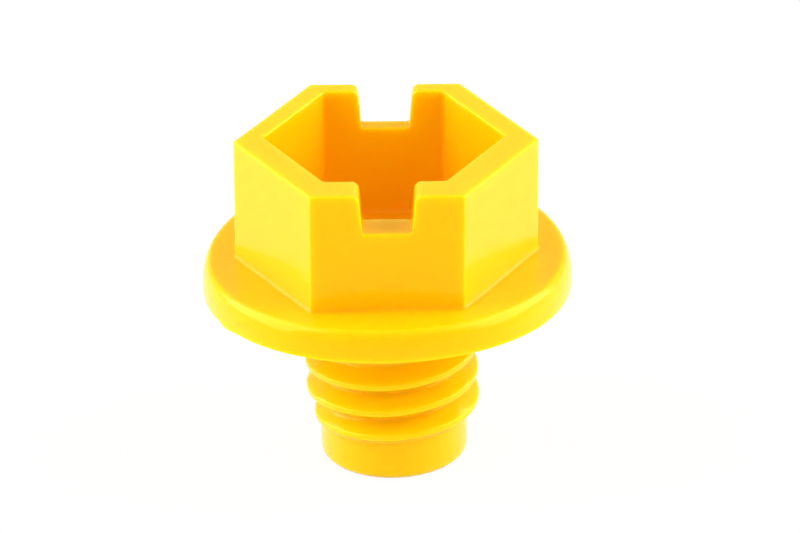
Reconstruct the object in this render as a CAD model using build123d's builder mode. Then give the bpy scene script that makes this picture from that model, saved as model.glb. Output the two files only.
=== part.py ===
"""Screw plug with a hollow hexagon head, moulded in one piece.

Sizes are in millimetres. Z is up, along the axis of the thread, and the origin is the
centre of the sealing face under the flange.
"""

from build123d import *
from math import atan, cos, degrees, radians, tan
import os

# Hexagon head, with two of its corners on the X axis
hex_across_flats = 14.29
head_height = 6.66
head_corner_radius = 0.15
head_foot_radius = 0.2
rim_edge_chamfer = 0.08

# Socket in the head, with its core set towards +Y, so that the front wall is the thick one
socket_across_flats = 11.3
socket_shift_x = -0.1
socket_shift_y = 0.5
socket_corner_radius = 0.3
socket_floor_thickness = 0.9
socket_floor_radius = 0.4

# Driver slot through the front and back walls of the head
slot_depth = 2.25
slot_floor_width = 2.63
slot_mouth_width = 2.98
slot_mouth_radius = 0.42
slot_floor_radius = 0.12

# Flange, flat on top around the head and then rounded down to a narrow upright edge
flange_diameter = 20.1
flange_thickness = 1.75
flange_shoulder_width = 0.5
flange_edge_height = 0.5

# Shank, hollow from the floor of the socket to the closed tip
shank_length = 10.3
bore_diameter = 5.2
bore_tip_wall = 1.4
bore_mouth_chamfer = 0.25
bore_end_chamfer = 0.7

# Plain pilot at the tip, which lies inside the crest of the thread
pilot_length = 1.6
pilot_inset = 0.77
tip_edge_radius = 0.6

# Right-hand thread, from the pilot up. Its ridge rises out of the shank along the lead-in,
# and sinks into it again along the run-out, which leaves a plain neck under the flange.
thread_pitch = 1.5875
thread_diameter = 9.525
thread_flank_angle = 60.0
thread_crest_width = 0.3
thread_root_width = 0.13
thread_lead_in = 1.2
thread_run_out = 0.5
thread_neck = 2.1
thread_start_angle = -23.0

hex_corner_distance = hex_across_flats / 2 / cos(radians(30))
socket_corner_distance = socket_across_flats / 2 / cos(radians(30))
rim_height = flange_thickness + head_height
slot_floor_height = rim_height - slot_depth
flange_radius = flange_diameter / 2
land_radius = flange_radius - flange_shoulder_width
bore_radius = bore_diameter / 2
bore_end_height = bore_tip_wall - shank_length
pilot_top = pilot_length - shank_length
thread_radius = thread_diameter / 2
flank_slope = tan(radians(thread_flank_angle / 2))
thread_depth = (thread_pitch - thread_crest_width - thread_root_width) / 2 / flank_slope
core_radius = thread_radius - thread_depth
pilot_radius = thread_radius - pilot_inset
near = 0.01

# The ridge's foot lies a little inside the core, where its turns still don't meet
ridge_sink = thread_root_width / 2
crest_offset = thread_crest_width / 2
foot_offset = crest_offset + (thread_depth + ridge_sink) * flank_slope
foot_radius = core_radius - ridge_sink
ridge_end_radius = core_radius - ridge_sink / 3
full_ridge_start = pilot_top + thread_lead_in
run_out_start = -thread_neck - foot_offset - thread_run_out


def at_height(height):
    """Limits along Z that hold only what lies at this height."""
    return height - near, height + near


def ridge_edges(bottom, rise, crest_start, crest_end):
    """Four helical edges of one stretch of the ridge: foot, crest, crest, foot.

    The crest's radius grows evenly from crest_start to crest_end, along a cone.
    """
    cone = atan((crest_end - crest_start) / rise)
    edges = []
    for start, offset, angle in (
        (foot_radius, -foot_offset, 0),
        (crest_start, -crest_offset, cone),
        (crest_start, crest_offset, cone),
        (foot_radius, foot_offset, 0),
    ):
        slant_pitch = thread_pitch / cos(angle)
        centre = (0, 0, bottom + offset)
        helix = Edge.make_helix(slant_pitch, rise, start, centre, (0, 0, 1), degrees(angle))
        turn = thread_start_angle + 360 * (bottom - pilot_top) / thread_pitch
        edges.append(helix.rotate(Axis.Z, turn))
    return edges


def ruled_faces(edges):
    """Faces around a stretch of the ridge, from each of its edges to the next."""
    following = edges[1:] + edges[:1]
    return [Face.make_surface_from_curves(a, b) for a, b in zip(edges, following)]


def end_face(edges, end):
    """Flat face that closes the ridge where its four edges start (0) or end (1)."""
    return Face(Wire.make_polygon([edge @ end for edge in edges], close=True))


# Ridge of the thread. A sweep can't taper its section evenly, so the faces are ruled
# between helical edges.
lead_in = ridge_edges(pilot_top, thread_lead_in, ridge_end_radius, thread_radius)
full_ridge = ridge_edges(
    full_ridge_start, run_out_start - full_ridge_start, thread_radius, thread_radius
)
run_out = ridge_edges(run_out_start, thread_run_out, thread_radius, ridge_end_radius)
ridge_shell = Shell(
    [end_face(lead_in, 0)]
    + ruled_faces(lead_in)
    + ruled_faces(full_ridge)
    + ruled_faces(run_out)
    + [end_face(run_out, 1)]
)

with BuildPart() as plug:
    # Flange, turned from its section
    with BuildSketch(Plane.XZ):
        with BuildLine():
            Polyline(
                (land_radius, flange_thickness),
                (0, flange_thickness),
                (0, 0),
                (flange_radius, 0),
                (flange_radius, flange_edge_height),
            )
            EllipticalCenterArc(
                (land_radius, flange_edge_height),
                flange_shoulder_width,
                flange_thickness - flange_edge_height,
                start_angle=0,
                arc_size=90,
            )
        make_face()
    revolve(axis=Axis.Z)

    # Shank: core, thread and pilot
    with BuildSketch():
        Circle(core_radius)
    extrude(amount=pilot_top)
    add(Solid(ridge_shell))
    with BuildSketch(Plane.XY.offset(pilot_top)):
        Circle(pilot_radius)
    extrude(amount=-pilot_length)
    fillet(plug.edges().group_by(Axis.Z)[0], tip_edge_radius)

    # Hexagon head
    with BuildSketch(Plane.XY.offset(flange_thickness)) as head_outline:
        RegularPolygon(hex_corner_distance, 6)
        fillet(head_outline.vertices(), head_corner_radius)
    extrude(amount=head_height)
    flange_top = plug.faces().filter_by(Plane.XY).group_by(Axis.Z)[-2][0]
    fillet(flange_top.inner_wires()[0].edges(), head_foot_radius)

    # Hexagon socket
    with BuildSketch(Plane.XY.offset(rim_height)) as socket_outline:
        with Locations((socket_shift_x, socket_shift_y)):
            RegularPolygon(socket_corner_distance, 6)
        fillet(socket_outline.vertices(), socket_corner_radius)
    extrude(amount=socket_floor_thickness - rim_height, mode=Mode.SUBTRACT)
    socket_edges = plug.edges().filter_by_position(Axis.Z, *at_height(socket_floor_thickness))
    fillet(socket_edges, socket_floor_radius)

    # Bore, down from the floor of the socket to the closed tip
    with BuildSketch(Plane.XY.offset(socket_floor_thickness)):
        Circle(bore_radius)
    extrude(amount=bore_end_height - socket_floor_thickness, mode=Mode.SUBTRACT)
    chamfer(
        plug.edges().filter_by_position(Axis.Z, *at_height(bore_end_height)),
        bore_end_chamfer,
    )
    bore_mouth = plug.edges().filter_by_position(Axis.Z, *at_height(socket_floor_thickness))
    chamfer(
        bore_mouth.filter_by(GeomType.CIRCLE).sort_by(Edge.length)[-1],
        bore_mouth_chamfer,
    )

    # Driver slot, wider at its mouth than at its floor
    with BuildSketch(Plane.XZ):
        with BuildLine():
            Polyline(
                (-slot_floor_width / 2, slot_floor_height),
                (-slot_mouth_width / 2, rim_height),
                (slot_mouth_width / 2, rim_height),
                (slot_floor_width / 2, slot_floor_height),
                close=True,
            )
        make_face()
    extrude(amount=hex_across_flats, both=True, mode=Mode.SUBTRACT)
    fillet(plug.edges().filter_by(Axis.Y).group_by(Axis.Z)[-1], slot_mouth_radius)
    slot_corners = plug.edges().filter_by(Axis.Y)
    fillet(
        slot_corners.filter_by_position(Axis.Z, *at_height(slot_floor_height)),
        slot_floor_radius,
    )

    # Broken edges along the rim and on both sides of the slot
    edges_above_slot = plug.edges().filter_by_position(
        Axis.Z, slot_floor_height - near, rim_height + near
    )
    chamfer(edges_above_slot.filter_by(Axis.Y, reverse=True), rim_edge_chamfer)

plug.part.label = "screw_plug"
os.makedirs("parts", exist_ok=True)
export_step(plug.part, "parts/screw_plug.step")
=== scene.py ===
"""Looks of the moulded screw plug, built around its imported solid.

The plug is one moulding, so one detailed skin stands for its node. Lengths are in
millimetres while the skin is built, and in metres from add_mesh on. Z is up, and the
origin is the centre of the sealing face under the flange.
"""

from math import atan2, cos, hypot, pi, radians, sin, tan

import bpy
import numpy as np
from mathutils import Matrix, Vector, noise


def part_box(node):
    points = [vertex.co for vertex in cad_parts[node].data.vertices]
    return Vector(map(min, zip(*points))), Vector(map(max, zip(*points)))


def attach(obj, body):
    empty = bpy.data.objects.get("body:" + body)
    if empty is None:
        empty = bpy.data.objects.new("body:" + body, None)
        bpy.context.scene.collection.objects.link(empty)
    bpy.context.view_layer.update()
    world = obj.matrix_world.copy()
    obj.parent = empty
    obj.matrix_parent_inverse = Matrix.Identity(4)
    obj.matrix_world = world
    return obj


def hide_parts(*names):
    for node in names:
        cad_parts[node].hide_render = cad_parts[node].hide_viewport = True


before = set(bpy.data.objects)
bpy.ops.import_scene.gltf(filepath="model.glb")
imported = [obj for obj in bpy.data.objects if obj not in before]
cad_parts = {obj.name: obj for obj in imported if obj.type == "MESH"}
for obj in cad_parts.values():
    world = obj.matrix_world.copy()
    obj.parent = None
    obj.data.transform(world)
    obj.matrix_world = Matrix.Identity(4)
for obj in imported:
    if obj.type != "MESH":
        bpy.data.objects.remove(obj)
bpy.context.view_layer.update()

MM = 0.001
box_low, box_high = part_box("screw_plug")

# Sizes of the plug, from the frame where its box gives them
RIM_Z = box_high[2] / MM
TIP_Z = box_low[2] / MM
FLANGE_R = box_high[0] / MM
FLANGE_T = 1.75
SHOULDER_W = 0.5
EDGE_H = 0.5
HEX_FLATS = 14.29
HEX_CORNER_R = 0.15
FOOT_R = 0.2
SOCKET_FLATS = 11.3
SOCKET_SHIFT = (-0.1, 0.5)
SOCKET_CORNER_R = 0.3
SOCKET_FLOOR_Z = 0.9
SOCKET_FLOOR_R = 0.4
SLOT_DEPTH = 2.25
SLOT_FLOOR_W = 2.63
SLOT_MOUTH_W = 2.98
SLOT_MOUTH_R = 0.42
SLOT_FLOOR_R = 0.14
LIP_R = 0.13
SLOT_LIP_R = LIP_R
SLOT_FLOOR_LIP_R = LIP_R
BORE_R = 2.6
BORE_MOUTH = 0.25
BORE_END = 0.7
BORE_TIP_WALL = 1.4
PITCH = 1.5875
THREAD_R = 9.525 / 2
CREST_W = 0.3
ROOT_W = 0.13
FLANK_SLOPE = tan(radians(30))
THREAD_DEPTH = (PITCH - CREST_W - ROOT_W) / 2 / FLANK_SLOPE
CORE_R = THREAD_R - THREAD_DEPTH
PILOT_R = THREAD_R - 0.77
PILOT_LENGTH = 1.6
TIP_R = 0.6
LEAD_IN = 1.2
RUN_OUT = 0.5
NECK = 2.1
START_ANGLE = -23.0

# How the cooled moulding has warped: the head leans, and the flange bends like a saddle
HEAD_LEAN = (0.0194, 0.0205)
SADDLE = 0.107 / 8.25**2
TIP_SHIFT = 0.14
BACK_LIFT = 0.06

# Flash at the flange's lower edge: direction and spread in degrees, and height
FLASH = ((-149, 5, 0.16), (-118, 16, 0.07), (-136, 8, 0.06), (-40, 13, 0.08), (60, 25, 0.05), (150, 20, 0.05))

# Where the moulding differs from the drawn sizes
RIDGE_R = THREAD_R - 0.04
SKIN_LEAD_IN = 1.5
SKIN_TIP_Z = TIP_Z - 0.06
SKIN_TIP_R = 0.47
SKIN_PILOT_R = PILOT_R + 0.02

SIDE_DIRS = [(cos(radians(120 + 60 * k)), sin(radians(120 + 60 * k))) for k in range(6)]
SIDE_NORMALS = [(cos(radians(30 + 60 * k)), sin(radians(30 + 60 * k))) for k in range(6)]
SLOT_SIDES = (1, 4)
CREST_ROUND = 0.16
PILOT_STEP_ANGLE = 20.0
PILOT_STEP_SPAN = 30.0
ROOT_ROUND = 0.3
CORNER_STEPS = (-28, -14, 0, 14, 28)


def smooth(a, b, x):
    """0 below a, 1 above b, and an even S between them."""
    t = np.clip((x - a) / (b - a), 0, 1)
    return t * t * (3 - 2 * t)


# ------------------------------------------------------------------ columns of the skin
def slot_path():
    """Points (u, z, nu, nz) of half the rim line over a slot, from its middle outwards.

    u runs across the slot, and (nu, nz) points out of the plastic.
    """
    floor_z = RIM_Z - SLOT_DEPTH
    half_floor, half_mouth = SLOT_FLOOR_W / 2, SLOT_MOUTH_W / 2
    slope = atan2(half_mouth - half_floor, SLOT_DEPTH)
    out = [(f * (half_floor - 0.25), floor_z, 0.0, 1.0) for f in (0, 0.2, 0.4, 0.6, 0.8, 1)]
    turn = pi / 2 - slope
    reach = SLOT_FLOOR_R * tan(turn / 2)
    for f in (0, 0.25, 0.5, 0.75, 1):
        a = f * turn
        u = half_floor - reach + SLOT_FLOOR_R * sin(a)
        out.append((u, floor_z + SLOT_FLOOR_R * (1 - cos(a)), -sin(a), cos(a)))
    low = out[-1]
    reach = SLOT_MOUTH_R * tan(turn / 2)
    top_u, top_z = half_mouth - reach * sin(slope), RIM_Z - reach * cos(slope)
    for f in (0.12, 0.25, 0.4, 0.55, 0.7, 0.82, 0.92):
        out.append((low[0] + f * (top_u - low[0]), low[1] + f * (top_z - low[1]), low[2], low[3]))
    centre_u, centre_z = half_mouth + reach, RIM_Z - SLOT_MOUTH_R
    for f in (0, 0.14, 0.28, 0.42, 0.57, 0.71, 0.86, 1):
        a = slope + f * turn
        out.append((centre_u - SLOT_MOUTH_R * cos(a), centre_z + SLOT_MOUTH_R * sin(a), -cos(a), sin(a)))
    return out


def columns():
    """The skin's columns, counterclockwise from the corner on +X.

    Each is (side, kind, value, rim): kind "turn" is an angle round the corner before the
    side, "part" a share of the way from that corner's end to the slot or the next corner,
    and "slot" a place across the slot with its point of the rim line.
    """
    half = slot_path()
    foot_u = np.linspace(0, half[-1][0], len(half))
    path = [(-f, (-p[0], p[1], -p[2], p[3])) for f, p in list(zip(foot_u, half))[:0:-1]]
    path += list(zip(foot_u, half))
    plain = (0.012, 0.03) + tuple(np.linspace(0.06, 0.94, 27)) + (0.97, 0.988)
    before = (0.03, 0.07) + tuple(np.linspace(0.14, 0.86, 9)) + (0.93, 0.97)
    out = []
    for k in range(6):
        out += [(k, "turn", a, None) for a in CORNER_STEPS]
        if k in SLOT_SIDES:
            out += [(k, "part", -1 - (1 - f), None) for f in before]
            out += [(k, "slot", f, p) for f, p in path]
            out += [(k, "part", 1 + f, None) for f in before]
        else:
            out += [(k, "part", f, None) for f in plain]
    return out


COLUMNS = columns()
N = len(COLUMNS)
SLOT_EDGE = slot_path()[-1][0]


def hexagon(flats, corner_r, shift=(0.0, 0.0), rim=False):
    """Column points (x, y) of a hexagon with rounded corners.

    Over a slot they stand evenly, or where the rim line is if rim is true.
    """
    half_side = flats / 2 * tan(radians(30))
    cut = corner_r * tan(radians(30))
    pts = []
    for k, kind, value, line in COLUMNS:
        (dx, dy), (nx, ny) = SIDE_DIRS[k], SIDE_NORMALS[k]
        if kind == "turn":
            mid = radians(60 * k)
            reach = (flats / 2 - corner_r) / cos(radians(30))
            a = mid + radians(value * 30 / 28)
            x = reach * cos(mid) + corner_r * cos(a)
            y = reach * sin(mid) + corner_r * sin(a)
        else:
            offset = shift[0] * dx + shift[1] * dy
            low, high = cut - half_side, half_side - cut
            if kind == "slot":
                u = (line[0] if rim else value) - offset
            elif k not in SLOT_SIDES:
                u = low + value * (high - low)
            elif value < 0:
                u = low + (value + 2) * (-SLOT_EDGE - offset - low)
            else:
                u = SLOT_EDGE - offset + (value - 1) * (high - SLOT_EDGE + offset)
            x, y = u * dx + flats / 2 * nx, u * dy + flats / 2 * ny
        pts.append((x + shift[0], y + shift[1]))
    return np.array(pts)


FOOT = hexagon(HEX_FLATS, HEX_CORNER_R)
ANGLES = np.arctan2(FOOT[:, 1], FOOT[:, 0])
ROUND = np.stack([np.cos(ANGLES), np.sin(ANGLES)], 1)
RIM_LINE = np.array([c[3] if c[3] else (0.0, RIM_Z, 0.0, 1.0) for c in COLUMNS])
ACROSS = np.array([SIDE_DIRS[c[0]] for c in COLUMNS])
OUTWARD = np.array([SIDE_NORMALS[c[0]] for c in COLUMNS])


def ring(xy, z):
    """One ring of the skin: its column points at a height or heights."""
    return np.column_stack([xy, np.broadcast_to(z, N)])


def circle(radius, z):
    """A ring on a circle, or on one radius per column."""
    return ring(ROUND * np.reshape(radius, (-1, 1)), z)


# ---------------------------------------------------------------------------- the thread
def ridge_radius(z):
    """Radius of the threaded shank per column at a height, ridge included."""
    turn = (ANGLES - radians(START_ANGLE)) / (2 * pi)
    start = TIP_Z + PILOT_LENGTH
    end = -NECK - CREST_W / 2 - (THREAD_DEPTH + ROOT_W / 2) * FLANK_SLOPE
    past = np.mod(np.degrees(ANGLES) - PILOT_STEP_ANGLE, 360)
    full = start + (past + PILOT_STEP_ANGLE - START_ANGLE) / 360 * PITCH
    step_down = smooth(PILOT_STEP_SPAN, 0, past)
    pilot_end = full + step_down * PITCH * 0.98
    out = CORE_R + (SKIN_PILOT_R - 0.01 - CORE_R) * (1 - smooth(-0.12, 0.05, z - pilot_end))
    first = np.floor((z - start) / PITCH - turn)
    for step in (-1, 0, 1, 2):
        crest_z = start + (first + step + turn) * PITCH
        valid = (crest_z >= start) & (crest_z <= end)
        grown = np.clip((crest_z - start) / SKIN_LEAD_IN, 0, 1) * np.clip((end - crest_z) / RUN_OUT, 0, 1)
        top = CORE_R - ROOT_W / 6 + grown * (RIDGE_R - CORE_R + ROOT_W / 6)
        away = np.hypot(z - crest_z, CREST_ROUND) - CREST_ROUND
        flank = top - np.maximum(away - CREST_W / 6, 0) / FLANK_SLOPE
        blend = np.maximum(ROOT_ROUND - np.abs(flank - out), 0) / ROOT_ROUND
        joined = np.maximum(out, flank) + blend * blend * ROOT_ROUND / 4
        out = np.where(valid, joined, out)
    return out


# ------------------------------------------------------------------------ the whole skin
def flash_size():
    """How far the ragged flash of the mould's joint stands out round the flange's edge."""
    size = np.zeros(N)
    for middle, spread, height in FLASH:
        away = (np.degrees(ANGLES) - middle + 180) % 360 - 180
        size = np.maximum(size, height * np.exp(-((away / spread) ** 2)))
    ragged = [0.55 + 0.45 * noise.noise((9 * a, 0, 3)) + 0.5 * noise.noise((31 * a, 5, 0)) for a in ANGLES]
    return size * np.clip(ragged, 0, 1.3)


def skin_rings():
    """All rings of the skin, from the middle of the tip round to the end of the bore."""
    rings = []
    flat_r = SKIN_PILOT_R - SKIN_TIP_R
    rings += [circle(f * flat_r, SKIN_TIP_Z) for f in (0.12, 0.4, 0.7, 0.9, 1.0)]
    for a in np.linspace(9, 90, 10):
        a = radians(a)
        rings.append(circle(flat_r + SKIN_TIP_R * sin(a), SKIN_TIP_Z + SKIN_TIP_R * (1 - cos(a))))
    pilot_top = TIP_Z + PILOT_LENGTH
    rings += [circle(SKIN_PILOT_R, z) for z in np.linspace(SKIN_TIP_Z + SKIN_TIP_R, pilot_top, 5)[1:-1]]
    for z in np.linspace(pilot_top + 0.03, -NECK - 0.02, 150):
        rings.append(circle(ridge_radius(z), z))
    rings += [circle(CORE_R, z) for z in (-0.8, -0.4, -0.2)]
    for a in (30, 60, 90):
        a = radians(a)
        rings.append(circle(CORE_R + 0.2 * (1 - cos(a)), -0.2 + 0.2 * sin(a)))
    rings += [circle(r, 0) for r in (4.6, 5.8, 7.4, 8.8, FLANGE_R - 0.35, FLANGE_R - 0.12, FLANGE_R - 0.03)]
    flash = flash_size()
    for z, part in ((0.02, 0.5), (0.05, 1), (0.09, 0.9), (0.14, 0.35), (0.2, 0.1), (0.3, 0), (EDGE_H, 0)):
        rings.append(circle(FLANGE_R + part * flash, z - 0.25 * part * flash))
    land_r = FLANGE_R - SHOULDER_W
    for a in np.linspace(6, 90, 15):
        a = radians(a)
        r = land_r + (FLANGE_R - land_r) * cos(a)
        rings.append(circle(r, EDGE_H + (FLANGE_T - EDGE_H) * sin(a)))
    foot_outer = hexagon(HEX_FLATS + 2 * FOOT_R, HEX_CORNER_R + FOOT_R)
    land = ROUND * land_r
    for f in (0.06, 0.16, 0.3, 0.45, 0.6, 0.75, 0.88, 0.96, 1.0):
        rings.append(ring(land + f * (foot_outer - land), FLANGE_T))
    for a in (22.5, 45, 67.5, 90):
        a = radians(a)
        rise = FOOT_R * (1 - cos(a))
        grow = FOOT_R * (1 - sin(a))
        rings.append(ring(hexagon(HEX_FLATS + 2 * grow, HEX_CORNER_R + grow), FLANGE_T + rise))

    def wall_point(flats, corner_r, shift, depth, inward=0.0):
        """Rim ring on a wall, sunk by depth along the rim line's normal."""
        xy = hexagon(flats, corner_r, shift, rim=True)
        xy = xy - ACROSS * np.reshape(RIM_LINE[:, 2] * depth, (-1, 1)) - OUTWARD * np.reshape(inward, (-1, 1))
        return ring(xy, RIM_LINE[:, 1] - RIM_LINE[:, 3] * depth)

    sunk = (RIM_Z - RIM_LINE[:, 1]) / SLOT_DEPTH
    lip = LIP_R + (SLOT_LIP_R - LIP_R) * smooth(0, 0.5, sunk)
    lip = lip + (SLOT_FLOOR_LIP_R - SLOT_LIP_R) * smooth(0.1, 1, RIM_LINE[:, 3]) * smooth(0.5, 1, sunk)
    outer_top = wall_point(HEX_FLATS, HEX_CORNER_R, (0, 0), lip)
    foot_ring = rings[-1]
    rings += [foot_ring + f * (outer_top - foot_ring) for f in np.linspace(0, 1, 26)[1:]]
    for a in np.linspace(15, 90, 6):
        a = radians(a)
        back = LIP_R * (1 - cos(a))
        more = (lip - LIP_R) * (1 - cos(a))
        rings.append(wall_point(HEX_FLATS - 2 * back, HEX_CORNER_R, (0, 0), lip * (1 - sin(a)), more))
    outer_lip = rings[-1]
    inner_lip = wall_point(SOCKET_FLATS + 2 * LIP_R, SOCKET_CORNER_R, SOCKET_SHIFT, 0)
    rings += [outer_lip + f * (inner_lip - outer_lip) for f in (0.1, 0.25, 0.42, 0.58, 0.75, 0.9, 1)]
    for a in (22.5, 45, 67.5, 90):
        a = radians(a)
        back = LIP_R * (1 - sin(a))
        rings.append(wall_point(SOCKET_FLATS + 2 * back, SOCKET_CORNER_R, SOCKET_SHIFT, LIP_R * (1 - cos(a))))
    inner_top = rings[-1]
    inner_foot = ring(hexagon(SOCKET_FLATS, SOCKET_CORNER_R, SOCKET_SHIFT), SOCKET_FLOOR_Z + SOCKET_FLOOR_R)
    rings += [inner_top + f * (inner_foot - inner_top) for f in np.linspace(0, 1, 22)[1:]]
    for a in (22.5, 45, 67.5, 90):
        a = radians(a)
        back = SOCKET_FLOOR_R * (1 - cos(a))
        xy = hexagon(SOCKET_FLATS - 2 * back, SOCKET_CORNER_R, SOCKET_SHIFT)
        rings.append(ring(xy, SOCKET_FLOOR_Z + SOCKET_FLOOR_R * (1 - sin(a))))
    floor_edge = rings[-1][:, :2]
    mouth = ROUND * (BORE_R + BORE_MOUTH)
    rings += [ring(floor_edge + f * (mouth - floor_edge), SOCKET_FLOOR_Z) for f in (0.15, 0.5, 0.85, 0.95, 1)]
    rings.append(circle(BORE_R + 0.07, SOCKET_FLOOR_Z - 0.07))
    bore_end = TIP_Z + BORE_TIP_WALL
    rings += [circle(BORE_R, z) for z in np.linspace(SOCKET_FLOOR_Z - BORE_MOUTH, bore_end + BORE_END, 12)]
    for a in (22.5, 45, 67.5, 90):
        a = radians(a)
        rings.append(circle(BORE_R - BORE_END * (1 - cos(a)), bore_end + BORE_END * (1 - sin(a))))
    rings += [circle(f * (BORE_R - BORE_END), bore_end) for f in (0.8, 0.45, 0.15)]
    return np.array(rings)


def warped(rings):
    """The skin with the moulding's warp."""
    x, y, z = rings[..., 0], rings[..., 1], rings[..., 2]
    above = z - FLANGE_T
    lean = smooth(0, 1.5, above)
    bend = SADDLE * (1 - smooth(FLANGE_T, RIM_Z, z)) * (x * x - y * y)
    shift = TIP_SHIFT * (1 - smooth(TIP_Z * 0.75, 0, z))
    lift = BACK_LIFT * smooth(0, 8, y) * smooth(-0.5, 0, z)
    return np.stack(
        [
            x + lean * HEAD_LEAN[0] * above + shift,
            y + lean * HEAD_LEAN[1] * above,
            z - lean * (HEAD_LEAN[0] * x + HEAD_LEAN[1] * y) - bend + lift,
        ],
        -1,
    )


def add_mesh(name, rings):
    """One closed skin from rings of N points, in metres."""
    count = len(rings)
    middles = [[TIP_SHIFT, 0, SKIN_TIP_Z], [TIP_SHIFT, 0, TIP_Z + BORE_TIP_WALL]]
    verts = np.concatenate([rings.reshape(-1, 3), middles]) * MM
    tip, end = count * N, count * N + 1
    faces = []
    for r in range(count - 1):
        a, b = r * N, (r + 1) * N
        faces += [(a + i, a + (i + 1) % N, b + (i + 1) % N, b + i) for i in range(N)]
    faces += [(tip, (i + 1) % N, i) for i in range(N)]
    last = (count - 1) * N
    faces += [(end, last + i, last + (i + 1) % N) for i in range(N)]
    mesh = bpy.data.meshes.new(name)
    mesh.from_pydata(verts.tolist(), [], faces)
    mesh.validate()
    mesh.shade_smooth()
    obj = bpy.data.objects.new(name, mesh)
    bpy.context.scene.collection.objects.link(obj)
    return obj


plug = add_mesh("plug_skin", warped(skin_rings()))
weighted = plug.modifiers.new("even_normals", "WEIGHTED_NORMAL")
weighted.weight = 80


# ---------------------------------------------------------------------------- materials
def plastic():
    mat = bpy.data.materials.new("plug_plastic")
    mat.use_nodes = True
    nodes, links = mat.node_tree.nodes, mat.node_tree.links
    shader = nodes["Principled BSDF"]
    shader.inputs["Base Color"].default_value = (1.0, 0.57, 0.002, 1)
    shader.inputs["Roughness"].default_value = 0.17
    shader.inputs["Specular Tint"].default_value = (1.0, 0.9, 0.2, 1)
    shader.inputs["IOR"].default_value = 1.5
    shader.subsurface_method = "RANDOM_WALK"
    shader.inputs["Subsurface Weight"].default_value = 1.0
    shader.inputs["Subsurface Radius"].default_value = (1.0, 0.6, 0.08)
    shader.inputs["Subsurface Scale"].default_value = 0.0015
    place = nodes.new("ShaderNodeTexCoord")
    grain = nodes.new("ShaderNodeTexNoise")
    grain.inputs["Scale"].default_value = 4200
    grain.inputs["Detail"].default_value = 3
    links.new(place.outputs["Object"], grain.inputs["Vector"])
    bump = nodes.new("ShaderNodeBump")
    bump.inputs["Distance"].default_value = 0.00004
    bump.inputs["Strength"].default_value = 0.35
    links.new(grain.outputs["Fac"], bump.inputs["Height"])
    links.new(bump.outputs["Normal"], shader.inputs["Normal"])
    return mat


plug.data.materials.append(plastic())
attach(plug, "root")
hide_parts("screw_plug")


# ------------------------------------------------------------- floor, lights and camera
def white_floor(z):
    """A wide white sheet that keeps a faint shadow."""
    mesh = bpy.data.meshes.new("studio_floor")
    side = 1.5
    mesh.from_pydata([(x, y, z) for x, y in ((-side, -side), (side, -side), (side, side), (-side, side))], [], [(0, 1, 2, 3)])
    obj = bpy.data.objects.new("studio_floor", mesh)
    bpy.context.scene.collection.objects.link(obj)
    mat = bpy.data.materials.new("floor_white")
    mat.use_nodes = True
    nodes, links = mat.node_tree.nodes, mat.node_tree.links
    nodes.clear()
    out = nodes.new("ShaderNodeOutputMaterial")
    mix = nodes.new("ShaderNodeMixShader")
    paper = nodes.new("ShaderNodeBsdfDiffuse")
    paper.inputs["Color"].default_value = (0.9, 0.9, 0.9, 1)
    glow = nodes.new("ShaderNodeEmission")
    glow.inputs["Strength"].default_value = 1.0
    path = nodes.new("ShaderNodeLightPath")
    seen = nodes.new("ShaderNodeMath")
    seen.operation = "MAXIMUM"
    both = nodes.new("ShaderNodeMath")
    both.operation = "MAXIMUM"
    share = nodes.new("ShaderNodeMath")
    share.operation = "MULTIPLY"
    share.inputs[1].default_value = 0.93
    links.new(path.outputs["Is Camera Ray"], seen.inputs[0])
    links.new(path.outputs["Is Glossy Ray"], seen.inputs[1])
    links.new(seen.outputs[0], both.inputs[0])
    links.new(path.outputs["Is Transmission Ray"], both.inputs[1])
    links.new(both.outputs[0], share.inputs[0])
    links.new(share.outputs[0], mix.inputs["Fac"])
    links.new(paper.outputs[0], mix.inputs[1])
    links.new(glow.outputs[0], mix.inputs[2])
    links.new(mix.outputs[0], out.inputs["Surface"])
    mesh.materials.append(mat)
    return obj


white_floor(min(vertex.co.z for vertex in plug.data.vertices))


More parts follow.
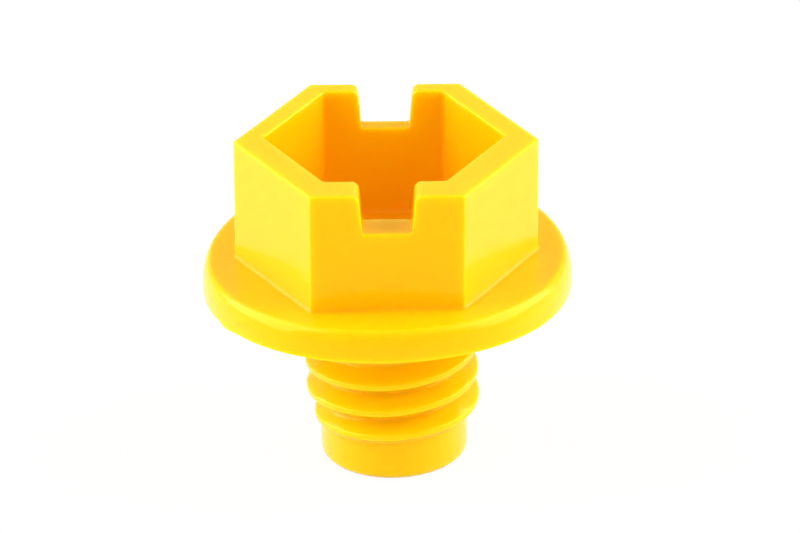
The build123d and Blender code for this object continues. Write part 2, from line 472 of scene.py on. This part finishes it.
def white_world():
    world = bpy.data.worlds.new("studio")
    bpy.context.scene.world = world
    world.use_nodes = True
    nodes, links = world.node_tree.nodes, world.node_tree.links
    background = nodes["Background"]
    background.inputs["Color"].default_value = (1, 1, 1, 1)
    path = nodes.new("ShaderNodeLightPath")
    level = nodes.new("ShaderNodeMapRange")
    level.inputs["To Min"].default_value = 0.42
    level.inputs["To Max"].default_value = 1.0
    links.new(path.outputs["Is Camera Ray"], level.inputs["Value"])
    links.new(level.outputs["Result"], background.inputs["Strength"])


white_world()


def softbox(name, azimuth, elevation, distance, width, height, power, aim=(0, 0, 0.002)):
    """A rectangular lamp that looks at the plug. Azimuth 0 is in front of it, 90 at its right."""
    data = bpy.data.lights.new(name, "AREA")
    data.shape = "RECTANGLE"
    data.size, data.size_y = width, height
    data.energy = power
    obj = bpy.data.objects.new(name, data)
    a, e = radians(azimuth), radians(elevation)
    aim = Vector(aim)
    obj.location = aim + distance * Vector((sin(a) * cos(e), -cos(a) * cos(e), sin(e)))
    obj.rotation_euler = (aim - obj.location).to_track_quat("-Z", "Y").to_euler()
    bpy.context.scene.collection.objects.link(obj)
    return obj


softbox("softbox_left", -88, 30, 0.38, 0.45, 0.40, 2.0)
softbox("softbox_right", 88, 30, 0.38, 0.45, 0.40, 2.0)

# The camera as the photograph shows the plug: where it stands, and how it is held
CAM_ELEVATION = 27.31
CAM_AZIMUTH = -0.135
CAM_ROLL = 1.54
CAM_DISTANCE = 371.25
CAM_ASIDE = (-0.705, 0.878)
FOCAL_PX = 6830
IMAGE_W = 800
SENSOR = 36

e, a, roll = radians(CAM_ELEVATION), radians(CAM_AZIMUTH), radians(CAM_ROLL)
ahead = Vector((sin(a) * cos(e), cos(a) * cos(e), -sin(e)))
right = Vector((cos(a), -sin(a), 0))
up = right.cross(ahead)
eye = Vector((0, 0, FLANGE_T)) - CAM_DISTANCE * ahead - CAM_ASIDE[0] * right - CAM_ASIDE[1] * up
camera_data = bpy.data.cameras.new("camera")
camera_data.sensor_width = SENSOR
camera_data.lens = FOCAL_PX / IMAGE_W * SENSOR
camera_data.clip_start = 0.01
camera = bpy.data.objects.new("camera", camera_data)
bpy.context.scene.collection.objects.link(camera)
held_right = cos(roll) * right - sin(roll) * up
held_up = sin(roll) * right + cos(roll) * up
turned = Matrix((held_right, held_up, -ahead)).transposed().to_4x4()
camera.matrix_world = Matrix.Translation(eye * MM) @ turned
bpy.context.scene.camera = camera

bpy.context.scene.view_settings.view_transform = "Standard"
